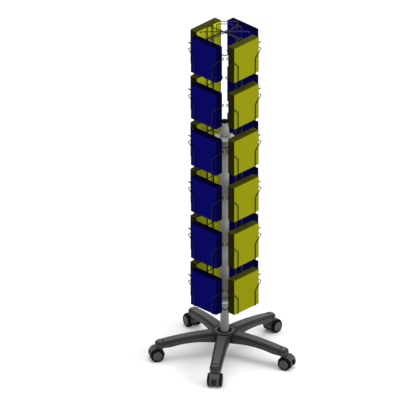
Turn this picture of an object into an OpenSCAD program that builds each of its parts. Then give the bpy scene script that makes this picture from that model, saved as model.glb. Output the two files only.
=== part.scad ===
/* [Card stacks] */
// Tiers of card pockets on each side
tier_count = 6; // [2:1:6]
// Height from one tier to the next
tier_pitch = 240; // [235:1:300]
// Height of the lowest card stack's underside above the floor
lowest_tier_z = 280; // [270:1:320]
// Width of a card
card_w = 163; // [120:1:168]
// Height of a card
card_h = 177; // [140:1:190]
// Thickness of a full stack of cards
stack_t = 40; // [20:1:50]
// Cards and envelopes in a stack
cards_per_stack = 12; // [6:1:20]
// Depth of the step between one card's edge and the next
card_edge_step = 0.8; // [0.3:0.1:1.5]

/* [Wire pockets] */
// Thickness of the pocket wire
pocket_wire_d = 4; // [3:0.5:5]
// Distance between the two upright wires in front of the cards
pocket_front_w = 114; // [60:1:130]
// Gap between the cards' edges and the side wires beside them
pocket_side_gap = 10.5; // [8:0.5:13]
// Set-back of a pocket's rear run behind its neighbour's side wires
pocket_set_back = 2.5; // [1:0.5:8]
// Height of the upright front wires above the cards' underside
pocket_front_h = 79; // [40:1:100]
// Height of the side wires above the cards' underside
pocket_side_h = 115; // [105:1:140]
// Bend radius at a pocket's two rear corners
pocket_rear_bend_r = 12; // [8:1:16]
// Bend radius at a pocket's other corners
pocket_bend_r = 6; // [4:0.5:8]
// Gap between the cards and the wires that they sit in
card_gap = 0.3; // [0.2:0.05:1]
// Gap between the cards and the wires in front and behind
card_play = 0.6; // [0.3:0.1:2]

/* [Wire frame] */
// Thickness of the frame wire
frame_wire_d = 5; // [4:0.5:6]
// Distance between the two wires of a spine
spine_w = 38; // [30:1:60]
// Height of the spines' lower end above the lower bearing disc
spine_rise = 3; // [1:0.5:10]
// Height of the spines above the top cards
spine_top_over = 3; // [1:1:30]
// Height of the stay wire above the cards' underside
stay_h = 21; // [12:1:40]
// How far a stay wire stops short of the cards' edge
stay_inset = 1.5; // [0.5:0.5:20]
// Depth of a rung under the cards' underside
rung_drop = 24; // [12:1:40]
// Corner radius of the square wire rings
ring_bend_r = 14; // [8:1:20]
// Height of the upper ring under the top of the top cards
upper_ring_drop = 53; // [30:1:70]

/* [Sign holder] */
// Gap between the bar's ends and the inner faces of the cards
sign_bar_gap = 20; // [12:1:40]
// Length of the turned-down ends of the bar
sign_bar_end = 9; // [6:1:20]
// Width of the outer hoop
sign_outer_w = 119; // [90:1:150]
// Height of the outer hoop above its bar
sign_outer_h = 53; // [45:1:80]
// Width of the inner hoop
sign_inner_w = 72; // [40:1:80]
// Height of the inner hoop above its bar
sign_inner_h = 40; // [25:1:40]
// Bend radius of the hoops
sign_bend_r = 6; // [5:0.5:12]

/* [Bearings] */
// Outer diameter of a bearing disc
disc_d = 92; // [80:1:110]
// Thickness of a bearing disc
disc_t = 5; // [3:0.5:8]
// Depth of the upper disc's top face under the pole's top
upper_disc_drop = 77; // [30:1:120]
// Height of the lower disc's top face above the underside of the lowest cards
lower_disc_rise = 8; // [6:1:20]
// Running clearance round the pole
bush_clearance = 0.05; // [0.03:0.01:0.1]
// Wall of a bush's sleeve
bush_wall = 5; // [3:0.5:6]
// Width of a bush's flange beyond its sleeve
bush_lip = 7; // [4:0.5:9]
// Thickness of a bush's flange
bush_lip_t = 4; // [2:0.5:6]
// Height of a bush's sleeve above its disc
bush_rise = 6; // [3:0.5:10]
// Height of the support collar
collar_h = 18; // [12:1:25]
// Wall of the support collar
collar_wall = 9; // [6:0.5:12]
// Thickness of the collar's set screw
collar_screw_d = 6; // [4:1:8]
// Running gap between the collar and the bush
thrust_gap = 0.2; // [0.1:0.05:0.5]

/* [Pole] */
// Outer diameter of the pole
pole_d = 40; // [36:1:44]
// Wall of the pole
pole_wall = 2; // [1.5:0.5:3]
// Height of the pole's top above the floor
pole_top_z = 1200; // [1160:1:1215]
// Thickness of the end plug's head
plug_head_t = 5; // [3:0.5:8]
// Chamfer round the end plug's head
plug_edge = 1; // [0.5:0.5:2]
// Length of the end plug inside the pole
plug_spigot = 22; // [10:1:40]
// Length of the foot plug inside the pole
foot_plug_h = 30; // [20:1:50]
// Gap between pieces that are pushed together
seat_gap = 0.05; // [0.02:0.01:0.1]
// Thickness of the pole bolt
pole_bolt_d = 10; // [8:1:12]

/* [Star base] */
// Number of arms and casters
arm_count = 5; // [4:1:5]
// Distance of the caster stems from the axis
stem_circle_r = 296; // [270:1:320]
// Outer radius of the hub
hub_r = 57; // [52:1:64]
// Height of the hub
hub_h = 45; // [40:1:60]
// Height of the hub's underside above the underside of the arm ends
hub_rise = 12; // [4:1:16]
// Width of an arm at the hub
arm_root_w = 60; // [50:1:66]
// Width of an arm at its end
arm_tip_w = 51; // [40:1:52]
// Height of an arm's end
arm_tip_h = 27; // [22:1:32]
// Rise of the arm's arched back above a straight line
arm_arch = 7; // [2:1:12]
// Rise of the arch under an arm
arm_under_arch = 11; // [2:1:14]
// Distance from that arch's outer end to the stem
arm_foot_l = 42; // [36:1:80]
// Size of the chamfer along the arm's top edges
arm_chamfer = 7; // [4:0.5:9]
// How far the round arm end stands out beyond the arm's sides
boss_swell = 1.5; // [0.5:0.5:4]
// Wall of the arm round its hollow underside
arm_wall = 5; // [3:0.5:8]
// Outer radius of the dark ring round the pole
socket_r = 33; // [28:1:36]
// Depth of the recess for that ring
socket_depth = 16; // [10:1:24]
// Thickness of the floor under the pole
hub_floor = 8; // [6:1:12]

/* [Casters] */
// Diameter of a wheel with its tyre
wheel_d = 62; // [56:1:62]
// Overall width of a twin wheel
caster_w = 71; // [66:1:74]
// Distance of the axle behind the stem
caster_trail = 20; // [16:1:26]
// Gap between a wheel and the stem's boss
wheel_boss_gap = 1.15; // [0.8:0.05:2]
// Diameter of a wheel's grey cap
cap_d = 44; // [36:1:46]
// Dome height of a wheel's cap
cap_dome = 2; // [0.5:0.5:3]
// Rounding of the tyre's edges
tyre_edge_r = 4; // [2:0.5:6]
// Gap between a wheel and its hood
hood_gap = 1; // [0.6:0.1:1.5]
// Wall of a hood
hood_wall = 2.5; // [2:0.5:3]
// Width of a hood
hood_w = 49; // [44:1:54]
// Height of the slot between the wheels above their axle
hood_slot_h = 16; // [0:1:20]
// Gap between a wheel and the web between the wheels
web_gap = 3; // [1:0.5:5]
// Diameter of a caster stem
stem_d = 11; // [8:1:11]
// Length of a stem in its arm
stem_in_arm = 20; // [14:1:22]
// Length of a stem in its hood
stem_in_hood = 20; // [12:1:22]
// Running clearance of the stem in its hood
stem_clearance = 0.05; // [0.03:0.01:0.1]
// Wall of the boss round the stem
stem_boss_wall = 3.8; // [2:0.2:5]
// Thickness of a stem's collar
stem_collar_t = 1.4; // [1:0.2:4]
// Diameter of a stem's collar
stem_collar_d = 18; // [14:1:20]
// Diameter of a caster axle
axle_d = 6; // [5:0.5:8]
// Running clearance of a wheel on its axle
axle_clearance = 0.05; // [0.03:0.01:0.1]

/* [Hidden] */
$fn = 48;
cut_over = 1;
slice_t = 0.1;

side_names = ["front_right", "back_right", "back_left", "front_left"];
side_angles = [0, 90, 180, 270];
caster_numbers = [for (i = [1:arm_count]) str(i)];
twin_marks = ["a", "b"];

// Cards and pockets, seen from one side of the rack: X out, Y along the side
pocket_side_w = card_w + 2 * pocket_side_gap + pocket_wire_d;
pocket_rear_r = pocket_side_w / 2 + pocket_set_back;
spine_r = pocket_rear_r - (pocket_wire_d + frame_wire_d) / 2;
card_inner_r = pocket_rear_r + pocket_wire_d / 2 + card_play;
card_outer_r = card_inner_r + stack_t;
pocket_front_r = card_outer_r + card_play + pocket_wire_d / 2;
tray_h = -card_gap - pocket_wire_d / 2;
top_tier_z = lowest_tier_z + (tier_count - 1) * tier_pitch;
tier_zs = [for (i = [0:tier_count - 1]) lowest_tier_z + i * tier_pitch];

// Frame
lower_disc_z = lowest_tier_z + lower_disc_rise;
upper_disc_z = pole_top_z - upper_disc_drop;
ring_r = spine_r - frame_wire_d;
knee_swell = 0.15;
lower_ring_z = lower_disc_z + pocket_wire_d / 2;
middle_ring_z = upper_disc_z + pocket_wire_d / 2;
upper_ring_z = top_tier_z + card_h - upper_ring_drop;
spine_low_z = lower_ring_z - spine_rise;
cross_z = top_tier_z + card_h + spine_top_over;
weld_sink = 0.4;
sign_bar_z = cross_z + frame_wire_d - weld_sink;
stay_r = pocket_rear_r - weld_sink;
stay_len = card_w - 2 * stay_inset;
sign_bar_len = 2 * sqrt(2) * (card_inner_r - sign_bar_gap);

// Bearings and pole
bush_bore_r = pole_d / 2 + bush_clearance;
bush_sleeve_r = bush_bore_r + bush_wall;
bush_lip_r = bush_sleeve_r + bush_lip;
spoke_start_r = bush_sleeve_r + bush_wall;
collar_top_z = lower_disc_z - disc_t - bush_lip_t - thrust_gap;
socket_bore_r = pole_d / 2 + seat_gap;
socket_sleeve_r = socket_bore_r + arm_wall;
washer_t = 2;
bolt_head_h = 6;
bolt_head_share = 0.9;
washer_share = 1.2;
bolt_reach_share = 0.8;
screw_socket_share = 0.5;

// Casters
wheel_r = wheel_d / 2;
stem_boss_r = stem_d / 2 + stem_clearance + stem_boss_wall;
wheel_gap_w = 2 * (stem_boss_r + wheel_boss_gap);
wheel_t = (caster_w - wheel_gap_w) / 2;
web_t = wheel_gap_w - 2 * web_gap;
cap_r = cap_d / 2;
cavity_r = wheel_r + hood_gap;
hood_r = cavity_r + hood_wall;
hood_top_z = wheel_r + hood_r;
web_r = cavity_r + hood_wall / 2;
axle_end_gap = 3;
axle_len = caster_w - 2 * axle_end_gap;
slot_w = wheel_gap_w + 2;

// Arms and hub, standing on the casters
arm_tip_bottom_z = hood_top_z + stem_collar_t + 2 * seat_gap;
arm_tip_z = arm_tip_bottom_z + arm_tip_h;
hub_bottom_z = arm_tip_bottom_z + hub_rise;
hub_top_z = hub_bottom_z + hub_h;
pole_foot_z = hub_bottom_z + hub_floor;
boss_r = arm_tip_w / 2 + boss_swell;
arm_stations = 9;
arm_root_s = hub_r / 2;
arm_root_drop = 1.5;
arm_root_lip = 0.6;
arm_root_z = hub_top_z - arm_root_drop;
arm_root_bottom_z = hub_bottom_z - arm_root_lip;
arch_steps = 24;

function unit(v) = v / norm(v);
function turn_of(u, v) = acos(max(-1, min(1, u * v)));

// A cylinder from a to b
module rod(a, b, r) {
    v = b - a;
    len = norm(v);
    translate(a)
        rotate([0, acos(v[2] / len), atan2(v[1], v[0])])
            cylinder(h = len, r = r);
}

// A bend of radius bend at corner p, from direction u to direction v
module bend_at(p, u, v, bend, r) {
    phi = turn_of(u, v);
    out = unit(u * cos(phi) - v);
    start = p - u * bend * tan(phi / 2);
    centre = start - out * bend;
    up = cross(out, u);
    multmatrix([
        [out[0], u[0], up[0], centre[0]],
        [out[1], u[1], up[1], centre[1]],
        [out[2], u[2], up[2], centre[2]],
        [0, 0, 0, 1]
    ])
        rotate_extrude(angle = phi)
            translate([bend, 0])
                circle(r = r);
}

// A closed wire through points, each with its own bend radius, or a sharp knee where that is zero
module wire_loop(points, bends, r) {
    n = len(points);
    dirs = [for (i = [0:n - 1]) unit(points[(i + 1) % n] - points[i])];
    turns = [for (i = [0:n - 1]) turn_of(dirs[(i + n - 1) % n], dirs[i])];
    trims = [for (i = [0:n - 1]) bends[i] * tan(turns[i] / 2)];
    for (i = [0:n - 1]) {
        rod(points[i] + dirs[i] * trims[i], points[(i + 1) % n] - dirs[i] * trims[(i + 1) % n], r);
        if (bends[i] == 0)
            translate(points[i])
                sphere(r = r + knee_swell);
        else
            bend_at(points[i], dirs[(i + n - 1) % n], dirs[i], bends[i], r);
    }
}

// An open wire through points, bent at the inner ones
module wire_path(points, bend, r) {
    n = len(points);
    dirs = [for (i = [0:n - 2]) unit(points[i + 1] - points[i])];
    trims = [for (i = [0:n - 1])
        i == 0 || i == n - 1 ? 0 : bend * tan(turn_of(dirs[i - 1], dirs[i]) / 2)];
    for (i = [0:n - 2])
        rod(points[i] + dirs[i] * trims[i], points[i + 1] - dirs[i] * trims[i + 1], r);
    for (i = [1:n - 2])
        bend_at(points[i], dirs[i - 1], dirs[i], bend, r);
}

// One stack of cards, its edges stepped card by card
module card_stack() {
    card_t = stack_t / cards_per_stack;
    edge = [for (i = [0:cards_per_stack - 1]) for (k = [0, 1])
        [(i + k) * card_t, i % 2 == 0 ? 0 : card_edge_step]];
    turned_edge = [for (i = [len(edge) - 1:-1:0]) edge[i]];
    intersection() {
        rotate([90, 0, 0])
            linear_extrude(card_w, center = true)
                polygon(concat(
                    [[0, 0], [stack_t, 0]],
                    [for (p = turned_edge) [p[0], card_h - p[1]]]
                ));
        linear_extrude(card_h)
            polygon(concat(
                [for (p = edge) [p[0], -card_w / 2 + p[1]]],
                [for (p = turned_edge) [p[0], card_w / 2 - p[1]]]
            ));
    }
}

module cards(side, shade) {
    color(shade)
        rotate(side_angles[side])
            for (z = tier_zs)
                translate([card_inner_r, 0, z])
                    card_stack();
}

// One pocket, a single closed wire: rear run, side runs, slopes, uprights and tray
module pocket() {
    rear = pocket_rear_r;
    front = pocket_front_r;
    half_side = pocket_side_w / 2;
    half_front = pocket_front_w / 2;
    left_half = [
        [rear, -half_side, pocket_side_h],
        [front, -half_side, pocket_side_h],
        [front, -half_front, pocket_front_h],
        [front, -half_front, tray_h],
        [rear, -half_front, tray_h]
    ];
    last = len(left_half) - 1;
    right_half = [for (i = [last:-1:0]) [left_half[i][0], -left_half[i][1], left_half[i][2]]];
    left_bends = [pocket_rear_bend_r, 0, 0, pocket_bend_r, pocket_bend_r];
    right_bends = [for (i = [last:-1:0]) left_bends[i]];
    wire_loop(concat(left_half, right_half), concat(left_bends, right_bends), pocket_wire_d / 2);
}

module pockets(side) {
    color("dimgray")
        rotate(side_angles[side])
            for (z = tier_zs)
                translate([0, 0, z])
                    pocket();
}

// Two upright wires joined at both ends, with a rung under each tier and two stay wires
module spine(side) {
    half = spine_w / 2;
    corners = [
        [spine_r, -half, spine_low_z],
        [spine_r, half, spine_low_z],
        [spine_r, half, cross_z],
        [spine_r, -half, cross_z]
    ];
    color("dimgray")
        rotate(side_angles[side]) {
            wire_loop(corners, [for (c = corners) frame_wire_d], frame_wire_d / 2);
            for (i = [1:tier_count - 1])
                rod([spine_r, -half, tier_zs[i] - rung_drop], [spine_r, half, tier_zs[i] - rung_drop],
                    pocket_wire_d / 2);
            for (z = [tier_zs[0], top_tier_z])
                rod([stay_r, -stay_len / 2, z + stay_h], [stay_r, stay_len / 2, z + stay_h],
                    pocket_wire_d / 2);
        }
}

module square_ring(z) {
    corners = [for (q = [[1, 1], [-1, 1], [-1, -1], [1, -1]]) [q[0] * ring_r, q[1] * ring_r, z]];
    wire_loop(corners, [for (c = corners) ring_bend_r], frame_wire_d / 2);
}

// Square ring with four thinner spokes that lie on a bearing disc
module spoked_frame(z) {
    square_ring(z);
    for (a = side_angles)
        rotate(a)
            rod([spoke_start_r, 0, z], [ring_r, 0, z], pocket_wire_d / 2);
}

module lower_frame() {
    color("gray") spoked_frame(lower_ring_z);
}

module middle_frame() {
    color("gray") spoked_frame(middle_ring_z);
}

module upper_ring() {
    color("gray") square_ring(upper_ring_z);
}

// Two wires crossed under the slanting sign bar
module top_cross() {
    reach = spine_r - frame_wire_d / 2;
    half_bar = sign_bar_len / 2;
    color("gray") {
        for (a = [0, 90])
            rotate(a)
                rod([-reach, 0, cross_z], [reach, 0, cross_z], frame_wire_d / 2);
        rotate(45)
            wire_path([
                [-half_bar, 0, sign_bar_z - sign_bar_end],
                [-half_bar, 0, sign_bar_z],
                [half_bar, 0, sign_bar_z],
                [half_bar, 0, sign_bar_z - sign_bar_end]
            ], frame_wire_d, frame_wire_d / 2);
    }
}

module sign_hoop(w, h) {
    foot = sign_bar_z + frame_wire_d / 2;
    wire_path([
        [-w / 2, 0, foot],
        [-w / 2, 0, sign_bar_z + h],
        [w / 2, 0, sign_bar_z + h],
        [w / 2, 0, foot]
    ], sign_bend_r, pocket_wire_d / 2);
}

module sign_holder() {
    color("gray")
        rotate(45) {
            sign_hoop(sign_outer_w, sign_outer_h);
            sign_hoop(sign_inner_w, sign_inner_h);
        }
}

module bearing_disc(top_z) {
    translate([0, 0, top_z - disc_t])
        difference() {
            cylinder(h = disc_t, r = disc_d / 2);
            translate([0, 0, -cut_over])
                cylinder(h = disc_t + 2 * cut_over, r = bush_sleeve_r + seat_gap);
        }
}

// Flanged bush: the flange lies under its disc and the sleeve stands in it
module bush(top_z) {
    sleeve_h = bush_lip_t + disc_t + bush_rise;
    translate([0, 0, top_z - disc_t - bush_lip_t])
        difference() {
            union() {
                cylinder(h = bush_lip_t, r = bush_lip_r);
                cylinder(h = sleeve_h, r = bush_sleeve_r);
            }
            translate([0, 0, -cut_over])
                cylinder(h = sleeve_h + 2 * cut_over, r = bush_bore_r);
        }
}

module lower_disc() {
    color("lightgray") bearing_disc(lower_disc_z);
}

module upper_disc() {
    color("lightgray") bearing_disc(upper_disc_z);
}

module lower_bush() {
    color("dimgray") bush(lower_disc_z);
}

module upper_bush() {
    color("dimgray") bush(upper_disc_z);
}

// Clamp collar that carries the rotor on the pole
module support_collar() {
    color("darkgray")
        translate([0, 0, collar_top_z - collar_h])
            difference() {
                cylinder(h = collar_h, r = pole_d / 2 + collar_wall);
                translate([0, 0, -cut_over])
                    cylinder(h = collar_h + 2 * cut_over, r = socket_bore_r);
                translate([0, 0, collar_h / 2])
                    rotate([0, 90, 0])
                        cylinder(h = pole_d, r = collar_screw_d / 2);
            }
}

module collar_screw() {
    color("silver")
        translate([pole_d / 2, 0, collar_top_z - collar_h / 2])
            rotate([0, 90, 0])
                difference() {
                    cylinder(h = collar_wall, r = collar_screw_d / 2);
                    translate([0, 0, collar_wall * (1 - screw_socket_share)])
                        cylinder(h = collar_wall, r = screw_socket_share * collar_screw_d / 2, $fn = 6);
                }
}

module pole() {
    color("darkgray")
        translate([0, 0, pole_foot_z])
            difference() {
                cylinder(h = pole_top_z - pole_foot_z, r = pole_d / 2);
                translate([0, 0, -cut_over])
                    cylinder(h = pole_top_z - pole_foot_z + 2 * cut_over, r = pole_d / 2 - pole_wall);
            }
}

module pole_plug() {
    spigot_r = pole_d / 2 - pole_wall - seat_gap;
    color("black")
        translate([0, 0, pole_top_z]) {
            cylinder(h = plug_head_t - plug_edge, r = pole_d / 2);
            translate([0, 0, plug_head_t - plug_edge])
                cylinder(h = plug_edge, r1 = pole_d / 2, r2 = pole_d / 2 - plug_edge);
            translate([0, 0, -plug_spigot])
                cylinder(h = plug_spigot, r = spigot_r);
        }
}

module pole_foot() {
    color("silver")
        translate([0, 0, pole_foot_z])
            difference() {
                cylinder(h = foot_plug_h, r = pole_d / 2 - pole_wall - seat_gap);
                translate([0, 0, -cut_over])
                    cylinder(h = foot_plug_h + 2 * cut_over, r = pole_bolt_d / 2 + seat_gap);
            }
}

// Bolt from below through the hub's floor, and its washer
module pole_bolt() {
    head_z = hub_bottom_z - washer_t - bolt_head_h;
    color("silver") {
        translate([0, 0, head_z])
            cylinder(h = bolt_head_h, r = pole_bolt_d * bolt_head_share, $fn = 6);
        translate([0, 0, head_z + bolt_head_h])
            cylinder(h = washer_t + hub_floor + foot_plug_h * bolt_reach_share, r = pole_bolt_d / 2);
        translate([0, 0, hub_bottom_z - washer_t])
            difference() {
                cylinder(h = washer_t, r = pole_bolt_d * washer_share);
                translate([0, 0, -cut_over])
                    cylinder(h = washer_t + 2 * cut_over, r = pole_bolt_d / 2 + seat_gap);
            }
    }
}

module pole_socket() {
    sleeve_h = hub_top_z - pole_foot_z;
    color("black")
        translate([0, 0, pole_foot_z])
            difference() {
                union() {
                    cylinder(h = sleeve_h, r = socket_sleeve_r);
                    translate([0, 0, sleeve_h - socket_depth])
                        cylinder(h = socket_depth, r = socket_r);
                }
                translate([0, 0, -cut_over])
                    cylinder(h = sleeve_h + 2 * cut_over, r = socket_bore_r);
            }
}

// Top height of an arm's arched back, at distance s from the axis
function arm_top(s) =
    let (f = (s - arm_root_s) / (stem_circle_r - arm_root_s))
    arm_root_z + (arm_tip_z - arm_root_z) * f + 4 * arm_arch * f * (1 - f);
function arm_half_w(s) =
    (arm_root_w + (arm_tip_w - arm_root_w) * (s - hub_r) / (stem_circle_r - hub_r)) / 2;
function arm_bottom(s) =
    arm_root_bottom_z
    + (arm_tip_bottom_z - arm_root_bottom_z) * (s - arm_root_s) / (stem_circle_r - arm_root_s);

// Turns what lies along X onto one of the arms
module at_arm(i) {
    rotate(90 + i * 360 / arm_count)
        children();
}

// An arm's arched body, without its round end
module arm_body() {
    hull()
        for (i = [0:arm_stations]) {
            s = arm_root_s + (stem_circle_r - arm_root_s) * i / arm_stations;
            w = arm_half_w(s);
            top = arm_top(s);
            translate([s, 0, 0])
                rotate([90, 0, 90])
                    linear_extrude(slice_t)
                        polygon([
                            [-w, arm_bottom(s)], [w, arm_bottom(s)],
                            [w, top - arm_chamfer], [w - arm_chamfer, top],
                            [arm_chamfer - w, top], [-w, top - arm_chamfer]
                        ]);
        }
}

// The space under an arm's arched underside; its ends start just below the arm
module under_arch() {
    start = hub_r;
    end = stem_circle_r - arm_foot_l;
    rotate([90, 0, 0])
        linear_extrude(arm_root_w + 2 * cut_over, center = true)
            polygon(concat(
                [[end, arm_tip_bottom_z - cut_over], [start, arm_tip_bottom_z - cut_over]],
                [for (i = [0:arch_steps])
                    let (f = i / arch_steps, s = start + (end - start) * f)
                    [s, arm_bottom(s) - seat_gap + 4 * (arm_under_arch + seat_gap) * f * (1 - f)]]
            ));
}

module arm_end() {
    side_h = arm_tip_z - arm_chamfer - arm_tip_bottom_z;
    translate([stem_circle_r, 0, arm_tip_bottom_z]) {
        cylinder(h = side_h, r = boss_r);
        translate([0, 0, side_h])
            cylinder(h = arm_chamfer, r1 = boss_r, r2 = boss_r - arm_chamfer);
    }
}

// Two hollows under an arm, with a rib between them
module arm_hollows() {
    start = hub_r + arm_wall;
    end = stem_circle_r - boss_r - arm_wall;
    cell = (end - start - arm_wall) / 2;
    for (i = [0, 1]) {
        s0 = start + i * (cell + arm_wall);
        s1 = s0 + cell;
        roof = arm_top(s1) - arm_chamfer - arm_wall;
        translate([0, 0, arm_tip_bottom_z - cut_over])
            linear_extrude(roof - arm_tip_bottom_z + cut_over)
                polygon([
                    [s0, arm_wall - arm_half_w(s0)], [s1, arm_wall - arm_half_w(s1)],
                    [s1, arm_half_w(s1) - arm_wall], [s0, arm_half_w(s0) - arm_wall]
                ]);
    }
}

module star_base() {
    hub_side_h = hub_top_z - arm_chamfer - hub_bottom_z;
    color("dimgray")
        difference() {
            union() {
                translate([0, 0, hub_bottom_z])
                    cylinder(h = hub_side_h, r = hub_r);
                translate([0, 0, hub_bottom_z + hub_side_h])
                    cylinder(h = arm_chamfer, r1 = hub_r, r2 = hub_r - arm_chamfer);
                for (i = [0:arm_count - 1])
                    at_arm(i) {
                        arm_body();
                        arm_end();
                    }
            }
            for (i = [0:arm_count - 1])
                at_arm(i) {
                    under_arch();
                    arm_hollows();
                    translate([stem_circle_r, 0, arm_tip_bottom_z - cut_over])
                        cylinder(h = stem_in_arm + seat_gap + cut_over, r = stem_d / 2 + seat_gap);
                }
            translate([0, 0, pole_foot_z])
                cylinder(h = hub_top_z, r = socket_sleeve_r + seat_gap);
            translate([0, 0, hub_top_z - socket_depth])
                cylinder(h = hub_top_z, r = socket_r + seat_gap);
            translate([0, 0, hub_bottom_z - cut_over])
                cylinder(h = hub_floor + 2 * cut_over, r = pole_bolt_d / 2 + seat_gap);
        }
}

// A caster's own frame: stem on Z, axle behind it along Y, floor at zero
module at_caster(i) {
    at_arm(i)
        translate([stem_circle_r, 0, 0])
            children();
}

module caster_stems() {
    color("silver")
        for (i = [0:arm_count - 1])
            at_caster(i) {
                translate([0, 0, hood_top_z - stem_in_hood])
                    cylinder(h = stem_in_hood + seat_gap, r = stem_d / 2);
                translate([0, 0, hood_top_z + seat_gap])
                    cylinder(h = stem_collar_t, r = stem_collar_d / 2);
                translate([0, 0, hood_top_z + seat_gap + stem_collar_t])
                    cylinder(h = stem_in_arm + seat_gap, r = stem_d / 2);
            }
}

// A cylinder on the axle's line, centred between the twin wheels
module on_axle(r, w) {
    translate([caster_trail, 0, wheel_r])
        rotate([90, 0, 0])
            cylinder(h = w, r = r, center = true);
}

// Everything between x0 and x1 that lies under height z, in a caster's frame
module under(x0, x1, z) {
    translate([x0, -hood_w, -hood_r])
        cube([x1 - x0, 2 * hood_w, z + hood_r]);
}

module caster_hood(i) {
    low_z = wheel_r / 2;
    color("dimgray")
        at_caster(i)
            difference() {
                union() {
                    difference() {
                        on_axle(hood_r, hood_w);
                        on_axle(cavity_r, hood_w + 2 * cut_over);
                        under(-hood_r, caster_trail, wheel_r);
                        under(caster_trail, caster_trail + 2 * hood_r, low_z);
                    }
                    difference() {
                        on_axle(web_r, web_t);
                        under(-hood_r, caster_trail + 2 * hood_r, low_z);
                    }
                    translate([0, 0, wheel_r])
                        cylinder(h = hood_r, r = stem_boss_r);
                }
                translate([0, 0, hood_top_z - stem_in_hood - seat_gap])
                    cylinder(h = hood_r, r = stem_d / 2 + stem_clearance);
                on_axle(axle_d / 2 + seat_gap, hood_w);
                translate([caster_trail + cap_r, -slot_w / 2, -cut_over])
                    cube([hood_r, slot_w, wheel_r + hood_slot_h + cut_over]);
            }
}

module caster_axle(i) {
    color("silver")
        at_caster(i)
            on_axle(axle_d / 2, axle_len);
}

// One of the twin wheels; mark 0 or 1 chooses the side
module at_wheel(i, mark) {
    at_caster(i)
        translate([caster_trail, 0, wheel_r])
            rotate([mark == 0 ? 90 : -90, 0, 0])
                translate([0, 0, wheel_gap_w / 2])
                    children();
}

module caster_wheel(i, mark) {
    bore_end = axle_len / 2 - wheel_gap_w / 2 + seat_gap;
    color("gray")
        at_wheel(i, mark)
            difference() {
                union() {
                    cylinder(h = wheel_t - cap_dome, r = cap_r);
                    translate([0, 0, wheel_t - cap_dome])
                        cylinder(h = cap_dome, r1 = cap_r, r2 = cap_r - 2 * cap_dome);
                }
                translate([0, 0, -cut_over])
                    cylinder(h = bore_end + cut_over, r = axle_d / 2 + axle_clearance);
            }
}

module caster_tyre(i, mark) {
    tyre_t = wheel_t - cap_dome;
    edge = wheel_r - tyre_edge_r;
    arc_steps = [0:30:90];
    color("black")
        at_wheel(i, mark)
            rotate_extrude()
                polygon(concat(
                    [[cap_r, 0]],
                    [for (a = arc_steps) [edge + tyre_edge_r * sin(a), tyre_edge_r * (1 - cos(a))]],
                    [for (a = arc_steps)
                        [edge + tyre_edge_r * cos(a), tyre_t - tyre_edge_r * (1 - sin(a))]],
                    [[cap_r, tyre_t]]
                ));
}

star_base();
pole_socket();
pole();
pole_plug();
pole_foot();
pole_bolt();
caster_stems();
support_collar();
collar_screw();
for (i = [0:arm_count - 1]) {
    caster_hood(i);
    caster_axle(i);
    for (m = [0, 1]) {
        mark = str(caster_numbers[i], twin_marks[m]);
        caster_wheel(i, m);
        caster_tyre(i, m);
    }
}
lower_bush();
upper_bush();
lower_disc();
upper_disc();
lower_frame();
middle_frame();
upper_ring();
top_cross();
sign_holder();
for (s = [0:len(side_names) - 1]) {
    spine(s);
    pockets(s);
    cards(s, s % 2 == 0 ? "darkkhaki" : "navy");
}
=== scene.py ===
import math

import bmesh
import bpy
from mathutils import Matrix, Vector


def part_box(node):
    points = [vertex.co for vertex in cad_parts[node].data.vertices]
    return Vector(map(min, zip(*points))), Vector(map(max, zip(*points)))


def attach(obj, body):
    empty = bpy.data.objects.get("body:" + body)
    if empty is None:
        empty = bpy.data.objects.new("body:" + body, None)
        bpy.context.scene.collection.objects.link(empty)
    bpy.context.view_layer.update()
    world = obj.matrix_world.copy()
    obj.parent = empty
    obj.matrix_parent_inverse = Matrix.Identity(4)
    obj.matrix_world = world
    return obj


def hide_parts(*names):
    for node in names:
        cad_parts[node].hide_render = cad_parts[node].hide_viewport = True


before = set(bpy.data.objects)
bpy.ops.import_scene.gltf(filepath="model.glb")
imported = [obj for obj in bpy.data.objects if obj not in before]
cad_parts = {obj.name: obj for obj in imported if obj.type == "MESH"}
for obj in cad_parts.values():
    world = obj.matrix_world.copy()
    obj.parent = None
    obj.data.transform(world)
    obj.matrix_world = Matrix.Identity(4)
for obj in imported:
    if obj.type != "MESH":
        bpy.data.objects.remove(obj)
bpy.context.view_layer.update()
scene = bpy.context.scene
scene.view_settings.view_transform = "Standard"
print("frame loaded")

# the drawing is 400 pixels square and has no perspective
shot = {
    "azimuth": 44.0, "elevation": 27.9,  # degrees
    "framePixels": 400, "metresPerPixel": 0.00457,
    "axisPixelX": 224.6, "footPixelY": 353.6,  # where the pole's axis meets the floor
    "distance": 8.0,
}


def linked(name, data):
    item = bpy.data.objects.new(name, data)
    scene.collection.objects.link(item)
    return item


# a camera or lamp at a place, facing away from the direction back
def aimed(name, data, place, back):
    item = linked(name, data)
    item.location = place
    item.rotation_mode = "QUATERNION"
    item.rotation_quaternion = back.to_track_quat("Z", "Y")
    return item


def placeCamera():
    turn, tilt = math.radians(shot["azimuth"]), math.radians(shot["elevation"])
    right = Vector((math.cos(turn), math.sin(turn), 0))
    back = Vector((math.sin(turn) * math.cos(tilt), -math.cos(turn) * math.cos(tilt), math.sin(tilt)))
    middle = shot["framePixels"] / 2
    aim = right * ((middle - shot["axisPixelX"]) * shot["metresPerPixel"])
    aim.z = (shot["footPixelY"] - middle) * shot["metresPerPixel"] / math.cos(tilt)
    data = bpy.data.cameras.new("camera")
    data.type = "ORTHO"
    data.ortho_scale = shot["framePixels"] * shot["metresPerPixel"]
    data.clip_end = 4 * shot["distance"]
    scene.camera = aimed("camera", data, aim + back * shot["distance"], back)


placeCamera()
print("camera placed")


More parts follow.
